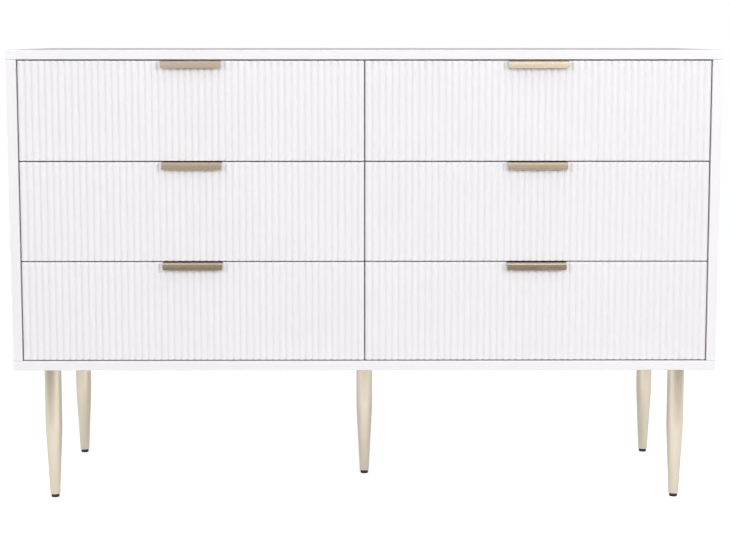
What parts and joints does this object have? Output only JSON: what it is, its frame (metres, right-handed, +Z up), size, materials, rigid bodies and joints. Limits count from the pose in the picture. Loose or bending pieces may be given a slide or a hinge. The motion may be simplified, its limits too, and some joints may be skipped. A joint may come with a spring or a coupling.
{
  "type": "dresser with drawers",
  "caption": "Low wide white dresser on tapered champagne metal legs, with two columns of inset reeded drawers and slim metal edge pulls.",
  "frame": {"origin": "on the floor, in the middle of the whole object's footprint, pull lips included", "axes": "+Z up, +X along the width to the right of someone facing the drawers, +Y from the front to the back; drawers open towards -Y"},
  "size_m": [1.2, 0.408, 0.78],
  "materials": {
    "white_lacquer": "satin",
    "inner_board": "satin",
    "back_board": "matte",
    "joiner_plastic": "satin",
    "pull_metal": "satin",
    "leg_metal": "satin",
    "glide_plastic": "matte",
    "runner_steel": "satin"
  },
  "bodies": {
    "carcass": {"top_panel": "white_lacquer", "bottom_panel": "white_lacquer", "left_side_panel": "white_lacquer", "right_side_panel": "white_lacquer", "centre_divider": "inner_board", "back_panel_left": "back_board", "back_panel_right": "back_board", "back_joiner": "joiner_plastic", "leg_front_left": "leg_metal", "leg_front_right": "leg_metal", "leg_rear_left": "leg_metal", "leg_rear_right": "leg_metal", "leg_centre": "leg_metal", "glide_front_left": "glide_plastic", "glide_front_right": "glide_plastic", "glide_rear_left": "glide_plastic", "glide_rear_right": "glide_plastic", "glide_centre": "glide_plastic", "cabinet_runner_bottom_left_l": "runner_steel", "cabinet_runner_bottom_left_r": "runner_steel", "cabinet_runner_bottom_right_l": "runner_steel", "cabinet_runner_bottom_right_r": "runner_steel", "cabinet_runner_middle_left_l": "runner_steel", "cabinet_runner_middle_left_r": "runner_steel", "cabinet_runner_middle_right_l": "runner_steel", "cabinet_runner_middle_right_r": "runner_steel", "cabinet_runner_top_left_l": "runner_steel", "cabinet_runner_top_left_r": "runner_steel", "cabinet_runner_top_right_l": "runner_steel", "cabinet_runner_top_right_r": "runner_steel"},
    "drawer_bottom_left": {"drawer_front_bottom_left": "white_lacquer", "pull_bottom_left": "pull_metal", "drawer_box_bottom_left": "inner_board", "drawer_runner_bottom_left_l": "runner_steel", "drawer_runner_bottom_left_r": "runner_steel"},
    "drawer_bottom_right": {"drawer_front_bottom_right": "white_lacquer", "pull_bottom_right": "pull_metal", "drawer_box_bottom_right": "inner_board", "drawer_runner_bottom_right_l": "runner_steel", "drawer_runner_bottom_right_r": "runner_steel"},
    "drawer_middle_left": {"drawer_front_middle_left": "white_lacquer", "pull_middle_left": "pull_metal", "drawer_box_middle_left": "inner_board", "drawer_runner_middle_left_l": "runner_steel", "drawer_runner_middle_left_r": "runner_steel"},
    "drawer_middle_right": {"drawer_front_middle_right": "white_lacquer", "pull_middle_right": "pull_metal", "drawer_box_middle_right": "inner_board", "drawer_runner_middle_right_l": "runner_steel", "drawer_runner_middle_right_r": "runner_steel"},
    "drawer_top_left": {"drawer_front_top_left": "white_lacquer", "pull_top_left": "pull_metal", "drawer_box_top_left": "inner_board", "drawer_runner_top_left_l": "runner_steel", "drawer_runner_top_left_r": "runner_steel"},
    "drawer_top_right": {"drawer_front_top_right": "white_lacquer", "pull_top_right": "pull_metal", "drawer_box_top_right": "inner_board", "drawer_runner_top_right_l": "runner_steel", "drawer_runner_top_right_r": "runner_steel"}
  },
  "joints": [
    {"name": "slide_bottom_left", "type": "slide", "parent": "carcass", "child": "drawer_bottom_left", "axis": [0, -1, 0], "range_m": [0, 0.255]},
    {"name": "slide_bottom_right", "type": "slide", "parent": "carcass", "child": "drawer_bottom_right", "axis": [0, -1, 0], "range_m": [0, 0.255]},
    {"name": "slide_middle_left", "type": "slide", "parent": "carcass", "child": "drawer_middle_left", "axis": [0, -1, 0], "range_m": [0, 0.255]},
    {"name": "slide_middle_right", "type": "slide", "parent": "carcass", "child": "drawer_middle_right", "axis": [0, -1, 0], "range_m": [0, 0.255]},
    {"name": "slide_top_left", "type": "slide", "parent": "carcass", "child": "drawer_top_left", "axis": [0, -1, 0], "range_m": [0, 0.255]},
    {"name": "slide_top_right", "type": "slide", "parent": "carcass", "child": "drawer_top_right", "axis": [0, -1, 0], "range_m": [0, 0.255]}
  ]
}
